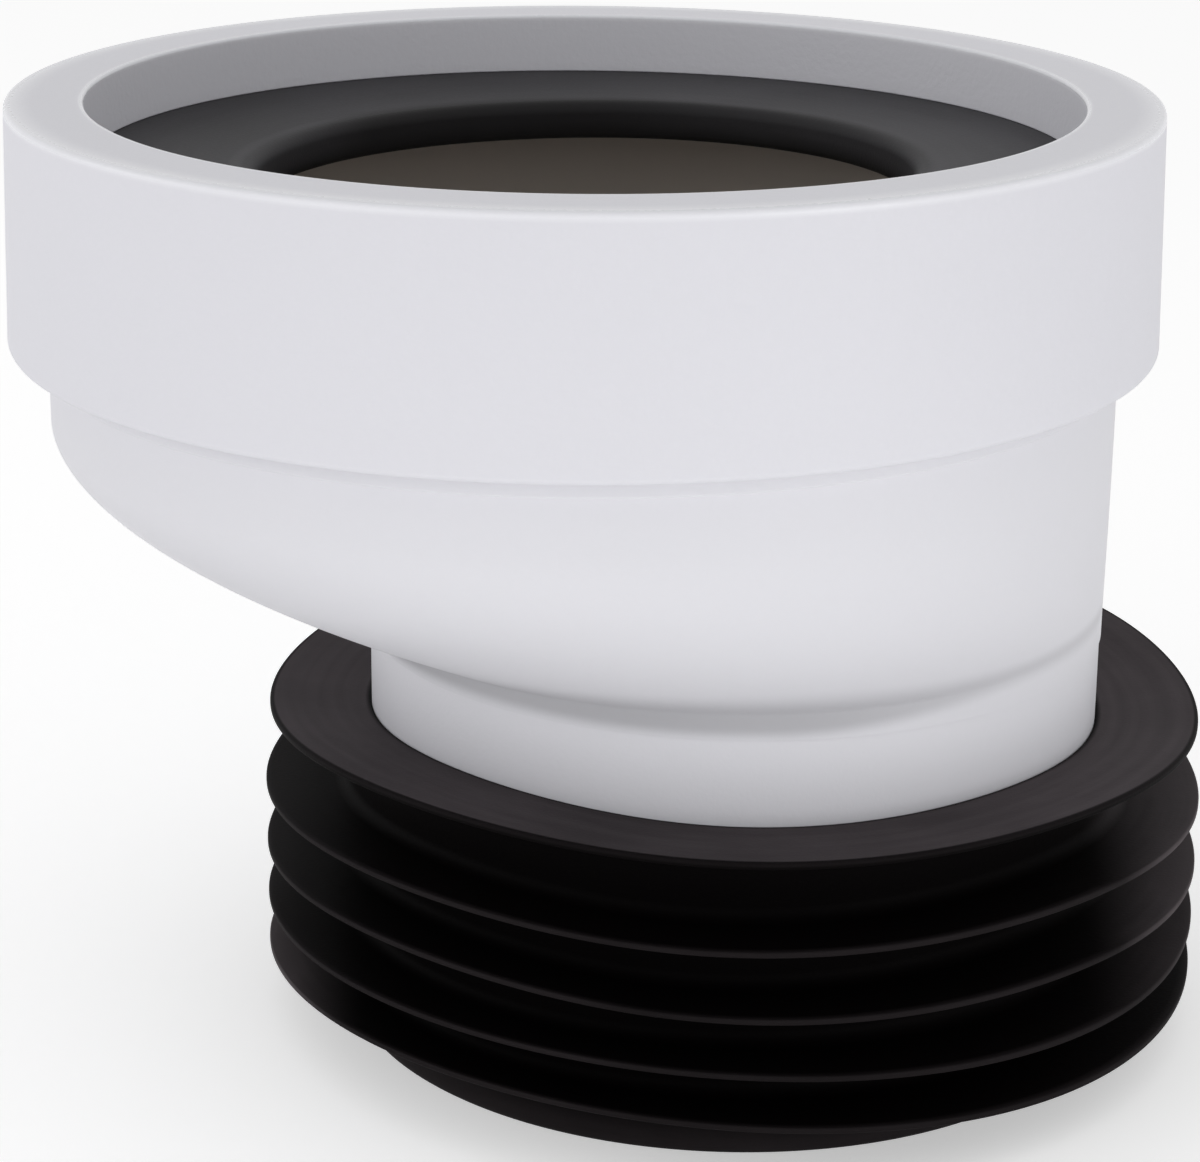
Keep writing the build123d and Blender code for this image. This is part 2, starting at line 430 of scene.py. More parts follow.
def sleeve_dust_and_painted_light(tree, across, height):
    """By its tone; painted light on the right-hand ends of the upper fins and the left-hand end of the
    lowest.
    """
    upper_fins = fade(tree, height, *UPPER_FINS_LOW) * fade(tree, height, *UPPER_FINS_TOP)
    # Painted light: paler right-hand ends of the upper fins, and left-hand ends, with a painted highlight on
    # the lowest.
    right = fade(tree, across, *RIGHT_TIPS) * upper_fins * RIGHT_TIP_PAINTED_LIGHT
    lowest = LEFT_TIP_PAINTED_LIGHT + LOWEST_TIP_PAINTED_HIGHLIGHT * fade(tree, height, *LOWEST_FIN)
    left = fade(tree, across, *LEFT_TIPS) * lowest
    sides = fade(tree, tree.maths("ABSOLUTE", across), *FLANGE_SIDES)
    # The tone's grey: dust, with a painted sheen on the flange's face and a painted highlight on the fins'
    # rims.
    open_faces = tone_of(tree) * (TONE_DUST_AND_PAINTED_LIGHT + FLANGE_SIDE_GAIN * sides)
    return tree.maths("MAXIMUM", open_faces, tree.maths("MAXIMUM", left, right))


ring_black = black_rubber(
    "ring_rubber",
    clean=(0.003, 0.0025, 0.0025, 1),
    grey_colour=(0.050, 0.048, 0.053, 1),
    axis_x=INLET_X,
    sheen=0.50,
    gloss=0.15,
    grey_rule=ring_dust,
)
sleeve_black = black_rubber(
    "sleeve_rubber",
    clean=(0.0014, 0.0009, 0.0010, 1),
    grey_colour=(0.074, 0.063, 0.067, 1),
    axis_x=OUTLET_X,
    sheen=0.55,
    gloss=0.035,
    grey_rule=sleeve_dust_and_painted_light,
)
print("rubber finishes:", ring_black.name, sleeve_black.name)

# %% [markdown]
# ## One rule for every piece: level circles
# Cut any of the four pieces level and you get circles. For the three turned pieces they share one axis.
# For the body their centres wander from the inlet's axis to the outlet's, which is what makes its bowl
# lean. So a piece is a list of circles, walked once round its section, and a skin stretched over them.
#
# The list is a mesh of loose points: each point is a circle's centre, with its radius and its tone as
# attributes. A Geometry Nodes tree turns it into the skin. It lays out a grid with a row for each
# circle, bends each row into its circle, hands on the tone, turns the faces outwards and welds the two
# seams. Creases are kept where two faces meet at more than the crease angle.
#
# Three helpers come first: one names a tree's inputs, one shades a skin, and one ends a tree.


# %% Helpers for geometry trees
def add_inputs(tree, wanted):
    """Named inputs and one geometry output for a tree: gives each input's identifier by its name."""
    named = {}
    for name, kind in wanted.items():
        named[name] = tree.interface.new_socket(name, in_out="INPUT", socket_type=kind).identifier
    tree.interface.new_socket("Geometry", in_out="OUTPUT", socket_type="NodeSocketGeometry")
    return named


def shade(start, geometry, crease_angle):
    """Smooth shading all over, apart from edges that turn by more than the crease angle."""
    smooth = start.node("GeometryNodeSetShadeSmooth", {"domain": "FACE"}, {"Geometry": geometry})
    turn = start.node("GeometryNodeInputMeshEdgeAngle", output="Unsigned Angle")
    sharp = start.maths("GREATER_THAN", turn, crease_angle)
    sockets = {"Geometry": smooth, "Selection": sharp, "Shade Smooth": False}
    return start.node("GeometryNodeSetShadeSmooth", {"domain": "EDGE"}, sockets)


def end_tree(start, geometry, material):
    """Ends a tree with real geometry that has its material."""
    real = start.node("GeometryNodeRealizeInstances", sockets={"Geometry": geometry})
    painted = start.node("GeometryNodeSetMaterial", sockets={"Geometry": real, "Material": material})
    start.node("NodeGroupOutput", sockets={"Geometry": painted})


print("helpers for geometry trees: add_inputs, shade, end_tree")

# %% Geometry Nodes: a skin over level circles
WELD_DISTANCE = 1e-6
SKIN_INPUTS = {
    "Section": "NodeSocketGeometry",
    "Segments": "NodeSocketInt",
    "Crease angle": "NodeSocketFloat",
    "Material": "NodeSocketMaterial",
}


def level_circle_tree():
    """Skins a section of level circles, and gives the tree with the identifiers of its inputs."""
    tree = bpy.data.node_groups.new("Level circles", "GeometryNodeTree")
    named = add_inputs(tree, SKIN_INPUTS)
    start = Wire(tree)
    given = start.node("NodeGroupInput", output="Section")
    segments = given.output("Segments")
    circles = start.node("GeometryNodeAttributeDomainSize", {"component": "MESH"}, {"Geometry": given})
    grid_size = {"Size X": 1.0, "Size Y": 1.0, "Vertices X": circles + 1.0, "Vertices Y": segments + 1.0}
    grid = start.node("GeometryNodeMeshGrid", sockets=grid_size)

    # Each point of the grid has a row, which stands for a circle, and an angle in that row. The last row is
    # the first circle again. The half and the quarter keep rounding errors away from whole numbers.
    index = start.node("GeometryNodeInputIndex")
    row = start.maths("FLOOR", (index + 0.5) / (segments + 1.0))
    angle = (index - row * (segments + 1.0)) / segments * math.tau
    circle = start.maths("FLOOR", start.maths("MODULO", row + 0.25, circles))

    def of_circle(kind, value):
        """What the row's circle has for a value."""
        sockets = {"Geometry": given, "Value": value, "Index": circle}
        return start.node("GeometryNodeSampleIndex", {"data_type": kind}, sockets)

    def own(name):
        """An attribute of the circles, by its name."""
        return start.node("GeometryNodeInputNamedAttribute", {"data_type": "FLOAT"}, {"Name": name})

    centre = of_circle("FLOAT_VECTOR", start.node("GeometryNodeInputPosition"))
    radius = of_circle("FLOAT", own("radius"))
    along = {"X": radius * start.maths("COSINE", angle), "Y": radius * start.maths("SINE", angle)}
    spoke = start.node("ShaderNodeCombineXYZ", sockets=along)
    place = start.vector_maths("ADD", centre, spoke)
    bent = start.node("GeometryNodeSetPosition", sockets={"Geometry": grid, "Position": place})
    toned = start.node(
        "GeometryNodeStoreNamedAttribute",
        {"data_type": "FLOAT", "domain": "POINT"},
        {"Geometry": bent, "Name": "tone", "Value": of_circle("FLOAT", own("tone"))},
    )
    outward = start.node("GeometryNodeFlipFaces", sockets={"Mesh": toned})
    seams = {"Geometry": outward, "Distance": WELD_DISTANCE}
    welded = start.node("GeometryNodeMergeByDistance", sockets=seams)
    end_tree(start, shade(start, welded, given.output("Crease angle")), given.output("Material"))
    return tree, named


skin_tree, skin_inputs = level_circle_tree()
print("tree inputs:", sorted(skin_inputs))

# %% [markdown]
# ## Sections with rounded corners
# A turned piece is drawn as a maker would: corners, each with its radius, height, rounding and tone.
# `rounded` puts an arc of short steps into each corner, and adds points along the straight runs,
# because smooth shading needs small faces beside a small rounding or the shade of the arc would bleed
# over the flat. Along a run, the tone goes evenly from one corner's to the next. `on_axis` then sets the
# points on the axis of their piece, as circles.

# %% Section helpers
RUN_STEP = 1.6
ARC_STEPS = 6


def rounded(corners, closed):
    """Points (radius, height, tone) round a section, from its (radius, height, rounding, tone) corners."""
    points = []
    for i, (r, z, rounding, tone) in enumerate(corners):
        here = Vector((r, z))
        if rounding == 0 or (not closed and i in (0, len(corners) - 1)):
            points.append(Vector((r, z, tone)))
            continue
        back = (Vector(corners[i - 1][:2]) - here).normalized()
        on = (Vector(corners[(i + 1) % len(corners)][:2]) - here).normalized()
        half = back.angle(on) / 2
        centre = here + (back + on).normalized() * (rounding / math.sin(half))
        first = here + back * (rounding / math.tan(half)) - centre
        last = here + on * (rounding / math.tan(half)) - centre
        for step in range(ARC_STEPS + 1):
            share = step / ARC_STEPS
            spoke = first.lerp(last, share).normalized() * rounding
            points.append(Vector((*(centre + spoke), tone)))
    return spread(points, closed)


def spread(points, closed):
    """Adds points so that no straight step is longer than RUN_STEP."""
    fine = []
    ends = points[1:] + points[:1] if closed else points[1:]
    for here, there in zip(points, ends):
        steps = max(1, math.ceil((there - here).xy.length / RUN_STEP))
        fine += [here.lerp(there, step / steps) for step in range(steps)]
    return fine if closed else fine + [points[-1]]


def on_axis(x, corners, closed=True):
    """Circles (centre x, radius, height, tone) on one axis, along a closed section or an open run of it."""
    return [(x, r, z, tone) for r, z, tone in rounded(corners, closed)]


print(f"{ARC_STEPS} steps to a rounded corner, and straight steps of {RUN_STEP} mm at most")

# %% [markdown]
# The maker's list of circles then becomes an object: a mesh of loose points that carries the tree as a
# modifier. Once it is evaluated, the skin is kept as a plain mesh and the modifier goes, so that
# nothing is left to compute.

# %% From circles to a piece
SEGMENTS = 320
CREASE_ANGLE = math.radians(40)


def section_object(name, circles):
    """An object whose points are (centre x, radius, height, tone) circles in mm."""
    mesh = bpy.data.meshes.new(name)
    mesh.from_pydata([(x * MM, 0.0, z * MM) for x, _, z, _ in circles], [], [])
    radius = mesh.attributes.new("radius", "FLOAT", "POINT")
    radius.data.foreach_set("value", [r * MM for _, r, _, _ in circles])
    tone = mesh.attributes.new("tone", "FLOAT", "POINT")
    tone.data.foreach_set("value", [t for _, _, _, t in circles])
    made = bpy.data.objects.new(name, mesh)
    bpy.context.scene.collection.objects.link(made)
    return made


def add_tree(made, tree, identifiers, values):
    """Puts a geometry tree on an object, with its named inputs set."""
    modifier = made.modifiers.new(tree.name, "NODES")
    modifier.node_group = tree
    for name, value in values.items():
        modifier[identifiers[name]] = value


def skin(name, circles, material):
    """A piece skinned over its circles, walked anticlockwise in the (radius, height) plane."""
    made = section_object(name, circles)
    values = {"Segments": SEGMENTS, "Crease angle": CREASE_ANGLE, "Material": material}
    add_tree(made, skin_tree, skin_inputs, values)
    return made


def make_plain(made):
    """Keeps the evaluated skin as the object's own mesh and takes the modifiers off."""
    evaluated = made.evaluated_get(bpy.context.evaluated_depsgraph_get())
    mesh = bpy.data.meshes.new_from_object(evaluated)
    made.modifiers.clear()
    made.data = mesh


def settle(made, node):
    """Hands a finished piece to the frame in the place of its solid."""
    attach(made, "root")
    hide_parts(node)
    print(f"{made.name}: {len(made.data.vertices)} points, {len(made.data.polygons)} faces")


print(f"{SEGMENTS} faces round each circle")

# %% [markdown]
# ## Soft rims
# Thin rubber never stays quite level. A second tree lets a piece's rim rise and sink: a point moves
# more the further it stands from the root radius, and only between two levels. The rule has a few
# parts:
#
# * a wave with a number of lobes round the axis, turned to where its crest is, which may grow on the
#   way down
# * a sag, which lowers the rim all round
# * a tremor, which is noise read at the point's direction and level

# %% Geometry Nodes: soft rims
TREMOR_ROUND = 1.1
TREMOR_UP = 55.0
LEVEL_FADE = 2.0 * MM
RIM_NUMBERS = (
    "Axis X",
    "Root radius",
    "Rim radius",
    "Low level",
    "High level",
    "Lobes",
    "Turn",
    "Wave",
    "Growth",
    "Sag",
    "Tremor",
    "Seed",
)


def tremor_noise(start, x, y, z, radius, seed):
    """Noise from -1 to 1 that changes slowly round the axis and with the level."""
    direction = {"X": x / radius * TREMOR_ROUND, "Y": y / radius * TREMOR_ROUND, "Z": z * TREMOR_UP}
    place = start.node("ShaderNodeCombineXYZ", sockets=direction)
    sockets = {"Vector": place, "W": seed, "Scale": 1.0, "Detail": 0.0}
    waver = start.node("ShaderNodeTexNoise", {"noise_dimensions": "4D"}, sockets, "Fac")
    return (waver - 0.5) * 2.0


def soft_rim_tree():
    """Lets the outer part of a turned piece wave up and down, and gives the tree with its inputs."""
    tree = bpy.data.node_groups.new("Soft rims", "GeometryNodeTree")
    wanted = {"Geometry": "NodeSocketGeometry", "Material": "NodeSocketMaterial"}
    named = add_inputs(tree, wanted | {name: "NodeSocketFloat" for name in RIM_NUMBERS})
    start = Wire(tree)
    given = start.node("NodeGroupInput", output="Geometry")
    low, high = given.output("Low level"), given.output("High level")
    place = start.node("ShaderNodeSeparateXYZ", sockets={"Vector": start.node("GeometryNodeInputPosition")})
    x, y, z = place - given.output("Axis X"), place.output("Y"), place.output("Z")
    radius = (x * x + y * y) ** 0.5
    root = given.output("Root radius")
    reach = start.maths("MAXIMUM", (radius - root) / (given.output("Rim radius") - root), 0.0)
    tremor = tremor_noise(start, x, y, z, radius, given.output("Seed")) * given.output("Tremor")
    angle = start.maths("ARCTAN2", y, x)
    lobes = start.maths("COSINE", (angle - given.output("Turn")) * given.output("Lobes"))
    wave = given.output("Wave") + given.output("Growth") * (high - z)
    between = fade(start, z, low - LEVEL_FADE, low) * fade(start, z, high + LEVEL_FADE, high)
    lift = (lobes * wave + tremor - given.output("Sag")) * reach * between
    offset = start.node("ShaderNodeCombineXYZ", sockets={"Z": lift})
    moved = start.node("GeometryNodeSetPosition", sockets={"Geometry": given, "Offset": offset})
    end_tree(start, moved, given.output("Material"))
    return tree, named


rim_tree, rim_inputs = soft_rim_tree()
print("tree inputs:", sorted(rim_inputs))

# %% [markdown]
# ## The cap
# The cap is a plain turned ring with a slight taper, as a moulding needs to leave its mould. Its top is
# a flat land, and a short wall hangs down from the inside of the land and presses on the rubber ring.
# Under the skirt, hidden from most sides, a hook catches the bead on the socket.

# %% Make the cap
SOCKET_X = INLET_X / MM
CAP_R = (cap_high.x - cap_low.x) / 2 / MM
CAP_TOP_Z = cap_high.z / MM
CAP_LOW_Z = cap_low.z / MM
CAP_TAPER = 0.7
CAP_BORE_R = 59.9
CAP_LIP_THICK = 3.0
CAP_TOP_THICK = 3.0
CAP_SKIRT_THICK = 2.8
CAP_ROUND = 0.6
CAP_EDGE_ROUND = 0.4
CAP_SEAT_ROUND = 0.2
CAP_SKIRT_ROUND = 0.4
CAP_FOOT_ROUND = 0.8
# The share of painted light on the flat of the land, and the width of the painted highlight at its edge.
LAND_PAINTED_LIGHT = 0.30
EDGE_HIGHLIGHT_WIDTH = 3.4
SEAL_FACE_Z = ring_high.z / MM
BEAD_RISE = 7.5
BEAD_Z = CAP_LOW_Z + BEAD_RISE
SOCKET_R = 65.2
COLLAR_PROUD = 0.7
SNAP_GAP = 0.3
HOOK_R = SOCKET_R + COLLAR_PROUD + SNAP_GAP
HOOK_TOP_Z = BEAD_Z - SNAP_GAP
HOOK_HEIGHT = 2.6
HOOK_LOW_Z = HOOK_TOP_Z - HOOK_HEIGHT
HOOK_RAMP = 1.4


def cap_corners():
    """Up the outside, over the land, down the mouth, round the channel and down inside the skirt."""
    top_r = CAP_R - CAP_TAPER
    wall_slope = CAP_TAPER / (CAP_TOP_Z - CAP_LOW_Z)
    skirt_r = CAP_R - CAP_SKIRT_THICK
    lip_r = CAP_BORE_R + CAP_LIP_THICK
    channel_z = CAP_TOP_Z - CAP_TOP_THICK
    # The tones mark a painted highlight on both top edges and painted light on the land.
    return [
        (CAP_R, CAP_LOW_Z, CAP_FOOT_ROUND, 0),
        (top_r + wall_slope * 2 * CAP_ROUND, CAP_TOP_Z - 2 * CAP_ROUND, 0, 0),
        (top_r, CAP_TOP_Z, CAP_ROUND, 1),
        (top_r - EDGE_HIGHLIGHT_WIDTH, CAP_TOP_Z, 0, LAND_PAINTED_LIGHT),
        (CAP_BORE_R + 2 * CAP_EDGE_ROUND, CAP_TOP_Z, 0, LAND_PAINTED_LIGHT),
        (CAP_BORE_R, CAP_TOP_Z, CAP_EDGE_ROUND, 1),
        (CAP_BORE_R, CAP_TOP_Z - 2 * CAP_EDGE_ROUND, 0, 0),
        (CAP_BORE_R, SEAL_FACE_Z, CAP_SEAT_ROUND, 0),
        (lip_r, SEAL_FACE_Z, 0, 0),
        (lip_r, channel_z, 0, 0),
        (skirt_r, channel_z, 0, 0),
        (skirt_r, HOOK_TOP_Z, 0, 0),
        (HOOK_R, HOOK_TOP_Z, 0, 0),
        (HOOK_R, HOOK_LOW_Z, 0, 0),
        (skirt_r, HOOK_LOW_Z - HOOK_RAMP, 0, 0),
        (skirt_r, CAP_LOW_Z, CAP_SKIRT_ROUND, 0),
    ]


cap = skin("cap_moulding", on_axis(SOCKET_X, cap_corners()), cap_white)
make_plain(cap)
settle(cap, "socket_cap")

# %% [markdown]
# ## The ring in the mouth
# A flat rubber ring is clamped between the cap and the socket. It dips a little towards its hole and
# then turns down into a short lip, which the pan's spout stretches as it goes in. Nothing holds the lip
# up, so it sags, most of all on the left: the soft rim tree does that, with its root at the cap and its
# rim at the hole.

# %% Make the rubber ring
RING_R = (ring_high.x - ring_low.x) / 2 / MM
RIM_Z = body_high.z / MM
LIP_END_Z = ring_low.z / MM
SOCKET_BORE_R = 62.2
LIP_R = 39.8
LIP_THICK = 2.2
RING_DISH = 0.45
RING_THICK = 2.4
SHOULDER_ROUND = 1.6
LIP_ROUND = 0.6
LIP_WIPE = 3.6
LIP_TONE = 0.20


def ring_corners():
    """In along the upper face, round the lip and out along the underside."""
    shoulder_z = SEAL_FACE_Z - RING_DISH
    slope = RING_DISH / (CAP_BORE_R - LIP_R)
    lip_back_r = LIP_R + LIP_THICK
    return [
        (RING_R, SEAL_FACE_Z, 0, 1),
        (CAP_BORE_R, SEAL_FACE_Z, 0, 1),
        (LIP_R + LIP_WIPE, shoulder_z + slope * LIP_WIPE, 0, 1),
        (LIP_R, shoulder_z, SHOULDER_ROUND, LIP_TONE),
        (LIP_R, (shoulder_z + LIP_END_Z) / 2, 0, LIP_TONE),
        (LIP_R, LIP_END_Z, LIP_ROUND, 0),
        (lip_back_r, LIP_END_Z, LIP_ROUND, 0),
        (lip_back_r, shoulder_z - RING_THICK, LIP_ROUND, 0),
        (SOCKET_BORE_R, RIM_Z, 0, 0),
        (RING_R, RIM_Z, 0, 0),
    ]


RING_SAG = {
    "Axis X": INLET_X,
    "Root radius": CAP_BORE_R * MM,
    "Rim radius": LIP_R * MM,
    "Low level": FLOOR_Z,
    "High level": CAP_TOP_Z * MM,
    "Lobes": 1.0,
    "Turn": math.radians(15),
    "Wave": 0.55 * MM,
    "Sag": 0.4 * MM,
    "Tremor": 0.1 * MM,
    "Seed": 1.0,
    "Material": ring_black,
}
ring = skin("mouth_ring_rubber", on_axis(SOCKET_X, ring_corners()), ring_black)
add_tree(ring, rim_tree, rim_inputs, RING_SAG)
make_plain(ring)
settle(ring, "inlet_seal")

# %% [markdown]
# ## The body
# The body is the piece with the real rule in it. From the socket down, its circles shrink late and
# their right-hand sides stay in line, so all of the shrinking shows on the left. The power in the rule
# says how late the bowl turns in. At the bottom the bowl runs out onto the spigot in a small hollow
# curve and ends in a fine step. A second power says how soon that curve settles on the spigot.

# %% The body's circles
SPIGOT_X = OUTLET_X / MM
NECK_R = 46.0
FLANGE_LEVEL = 9.5
NECK_RISE = 10.0
NECK_Z = FLANGE_LEVEL + NECK_RISE
COVE_HEIGHT = 3.7
COVE_GAIN = 1.3
COVE_CURVE = 1.6
COVE_STEPS = 10
BOWL_LOW_Z = NECK_Z + COVE_HEIGHT
BOWL_HEIGHT = 23.6
BOWL_TOP_Z = BOWL_LOW_Z + BOWL_HEIGHT
BOWL_CURVE = 1.78
BOWL_STEPS = 40
OUTSIDE, INSIDE = 0.0, 1.0


def bowl_circles(top_r, low_r, low_right, low_z, tone):
    """Circles of the bowl from its low end up: they shrink late, and their right-hand sides stay in line."""
    circles = []
    for step in range(BOWL_STEPS, -1, -1):
        share = step / BOWL_STEPS
        radius = top_r - (top_r - low_r) * share**BOWL_CURVE
        right = (1 - share) * (SOCKET_X + top_r) + share * low_right
        circles.append((right - radius, radius, BOWL_TOP_Z + share * (low_z - BOWL_TOP_Z), tone))
    return circles


def cove_circles():
    """Circles of the hollow curve, from the spigot up to the bowl."""
    circles = []
    for step in range(COVE_STEPS):
        share = step / COVE_STEPS
        radius = NECK_R + COVE_GAIN * share**COVE_CURVE
        circles.append((NECK_R - radius, radius, NECK_Z + share * COVE_HEIGHT, OUTSIDE))
    return circles


print(f"bowl from {BOWL_LOW_Z:.1f} to {BOWL_TOP_Z:.1f} mm, hollow curve from {NECK_Z:.1f} mm")

# %% [markdown]
# The rest of the body is straight: the spigot and its bore on the outlet's axis, and the socket with its
# collar, bead and rim on the inlet's. They are open runs of corners, strung together with the curved
# circles into one walk: up the outside from the spigot's end, over the rim and down the inside.

# %% Make the body
SPIGOT_END_Z = body_low.z / MM
SPIGOT_R = 45.8
SPIGOT_ROUND = 0.8
BORE_R = 42.8
BOWL_FLOOR_RISE = 0.8
WALL_START = 1.0
COLLAR_DROP = 2.5
COLLAR_HEIGHT = 4.0
COLLAR_ROUND = 0.25
BEAD_PROUD = 1.7
BEAD_HEIGHT = 3.0
BEAD_ROUND = 0.3
RIM_ROUND = 0.5


def socket_corners():
    """Up the outside of the socket, over its rim and down its bore."""
    wall_z = BOWL_TOP_Z + WALL_START
    collar_low = CAP_LOW_Z - COLLAR_DROP
    collar_top = collar_low + COLLAR_HEIGHT
    collar_r = SOCKET_R + COLLAR_PROUD
    bead_r = SOCKET_R + BEAD_PROUD
    bead_top = BEAD_Z + BEAD_HEIGHT
    return [
        (SOCKET_R, wall_z, 0, OUTSIDE),
        (SOCKET_R, collar_low, COLLAR_ROUND, OUTSIDE),
        (collar_r, collar_low, COLLAR_ROUND, OUTSIDE),
        (collar_r, collar_top, COLLAR_ROUND, OUTSIDE),
        (SOCKET_R, collar_top, 0, OUTSIDE),
        (SOCKET_R, BEAD_Z, 0, OUTSIDE),
        (bead_r, BEAD_Z, BEAD_ROUND, OUTSIDE),
        (bead_r, bead_top, BEAD_ROUND, OUTSIDE),
        (SOCKET_R, bead_top + BEAD_PROUD, 0, OUTSIDE),
        (SOCKET_R, RIM_Z, RIM_ROUND, OUTSIDE),
        (SOCKET_BORE_R, RIM_Z, RIM_ROUND, INSIDE),
        (SOCKET_BORE_R, wall_z, 0, INSIDE),
    ]


def body_circles():
    """The whole walk: the run up the spigot and the run down its bore meet in the middle of its end."""
    middle_r = (SPIGOT_R + BORE_R) / 2
    bowl_floor_z = BOWL_LOW_Z + BOWL_FLOOR_RISE
    spigot = [
        (middle_r, SPIGOT_END_Z, 0, OUTSIDE),
        (SPIGOT_R, SPIGOT_END_Z, SPIGOT_ROUND, OUTSIDE),
        (SPIGOT_R, NECK_Z, 0, OUTSIDE),
    ]
    bore = [
        (BORE_R, bowl_floor_z - WALL_START, 0, INSIDE),
        (BORE_R, SPIGOT_END_Z, SPIGOT_ROUND, INSIDE),
        (middle_r, SPIGOT_END_Z, 0, INSIDE),
    ]
    walk = on_axis(SPIGOT_X, spigot, closed=False) + cove_circles()
    walk += bowl_circles(SOCKET_R, NECK_R + COVE_GAIN, NECK_R, BOWL_LOW_Z, OUTSIDE)
    walk += on_axis(SOCKET_X, socket_corners(), closed=False)
    walk += bowl_circles(SOCKET_BORE_R, BORE_R, BORE_R, bowl_floor_z, INSIDE)[::-1]
    return walk + on_axis(SPIGOT_X, bore, closed=False)[:-1]


body = skin("body_moulding", body_circles(), body_white)
make_plain(body)
settle(body, "connector_body")

# %% [markdown]
# ## The sleeve and its fins
# The sleeve is stretched over the spigot and hooks under its end. A flange closes its top, and four
# thin fins below it fold against the soil pipe. The fins repeat, so the section is walked with a loop
# over their levels.

# %% The sleeve's section
FIN_R = (sleeve_high.x - sleeve_low.x) / 2 / MM
FOOT_Z = sleeve_low.z / MM
SLEEVE_BORE_R = 45.85
SLEEVE_R = 48.95
SLEEVE_MOUTH_ROUND = 0.3
FIN_LEVELS = (0.0, -8.3, -16.2, -22.7)
FIN_EDGE = 0.7
FIN_ROOT = 2.0
FIN_SWEEP = 0.8
FIN_FILLET = 1.6
FIN_ROUND = 0.2
FIN_RIM = 1.2
# The rims of the fins: some dust, and a painted highlight on their edges.
FIN_RIM_DUST_AND_HIGHLIGHT = 0.24
FLANGE_R = 58.6
FLANGE_EDGE = 0.9
FLANGE_ROOT = 2.4
FLANGE_SWEEP = 1.0
FLANGE_ROUND = 0.35
FACE_START = 0.8
FACE_END = 0.3
FACE_EDGE_TONE = 0.1
FOOT_HOLE_R = 43.3
FOOT_ROUND = 1.2
FOOT_TONE = 0.45


def flange_corners():
    """From the bore out along the flange's face, round its edge and back to its lower root."""
    top = FLANGE_LEVEL + FLANGE_SWEEP
    slope = FLANGE_SWEEP / (FLANGE_R - SLEEVE_BORE_R)
    return [
        (SLEEVE_BORE_R, FLANGE_LEVEL, SLEEVE_MOUTH_ROUND, 0),
        (SLEEVE_BORE_R + FACE_START, FLANGE_LEVEL + FACE_START * slope, 0, 1),
        (FLANGE_R - FLANGE_ROUND - FACE_END, top - slope * (FLANGE_ROUND + FACE_END), 0, 1),
        (FLANGE_R, top, FLANGE_ROUND, FACE_EDGE_TONE),
        (FLANGE_R, top - FLANGE_EDGE, FLANGE_ROUND, 0),
        (SLEEVE_R, FLANGE_LEVEL - FLANGE_ROOT, FIN_FILLET, 0),
    ]


def fin_corners(level):
    """Corners of one fin, from its upper root out to its edge and back to its lower root."""
    root_top = level - FIN_SWEEP
    slope = FIN_SWEEP / (FIN_R - SLEEVE_R)
    return [
        (SLEEVE_R, root_top, FIN_FILLET, 0),
        (FIN_R - FIN_RIM, level - FIN_RIM * slope, 0, 0),
        (FIN_R, level, FIN_ROUND, FIN_RIM_DUST_AND_HIGHLIGHT),
        (FIN_R, level - FIN_EDGE, FIN_ROUND, FIN_RIM_DUST_AND_HIGHLIGHT),
        (SLEEVE_R, root_top - FIN_ROOT, FIN_FILLET, 0),
    ]


def sleeve_corners():
    """Down the outside from the flange over the fins to the foot, and up the inside."""
    corners = flange_corners()
    for level in FIN_LEVELS:
        corners += fin_corners(level)
    return corners + [
        (SLEEVE_R, FOOT_Z, FOOT_ROUND, FOOT_TONE),
        (FOOT_HOLE_R, FOOT_Z, FOOT_ROUND, 0),
        (FOOT_HOLE_R, SPIGOT_END_Z, 0, 0),
        (SLEEVE_BORE_R, SPIGOT_END_Z, 0, 0),
    ]


print(f"{len(FIN_LEVELS)} fins of {2 * FIN_R:.1f} mm across")

# %% [markdown]
# The rubber has been packed and pushed about, and it shows. The fins are folded along one line, the
# lower ones more. The flange leans along the same line. A finer ripple with four crests runs through
# the flange and the upper two fins. Each of these is one use of the soft rim tree. A root radius that
# isn't given is 0, so the lean and the ripple also move the sleeve's wall, though less than its rims.
#
# The section runs down its outside, which is clockwise, so its circles are handed on in reverse.

# %% Make the sleeve
FOLD_TURN = math.radians(230)
FIN_FOLD = {
    "Root radius": SLEEVE_R * MM,
    "Low level": -26.0 * MM,
    "High level": 2.0 * MM,
    "Lobes": 2.0,
    "Turn": FOLD_TURN,
    "Wave": 0.25 * MM,
    "Growth": 0.060,
}
FLANGE_LEAN = {
    "Low level": 6.0 * MM,
    "High level": 20.0 * MM,
    "Lobes": 2.0,
    "Turn": FOLD_TURN,
    "Wave": 0.55 * MM,
}
RIPPLE = {
    "Low level": -12.0 * MM,
    "High level": 20.0 * MM,
    "Lobes": 4.0,
    "Turn": math.radians(223),
    "Wave": 0.62 * MM,
    "Sag": 0.3 * MM,
    "Tremor": 0.3 * MM,
}
ALL_WAVES = {"Axis X": OUTLET_X, "Rim radius": FIN_R * MM, "Seed": 3.0, "Material": sleeve_black}

sleeve = skin("sleeve_rubber", on_axis(SPIGOT_X, sleeve_corners())[::-1], sleeve_black)
for wave in (FIN_FOLD, FLANGE_LEAN, RIPPLE):
    add_tree(sleeve, rim_tree, rim_inputs, ALL_WAVES | wave)
make_plain(sleeve)
settle(sleeve, "outlet_seal")

# %% [markdown]
# ## Floor and light
# The part stands on a white table in a white tent. The picture has a white ground, so for the camera,
# and for reflections, the tent is plain white and the floor glows just enough to reach white in the
# open. The part's shadow stays on it. From below, the floor can be looked through.

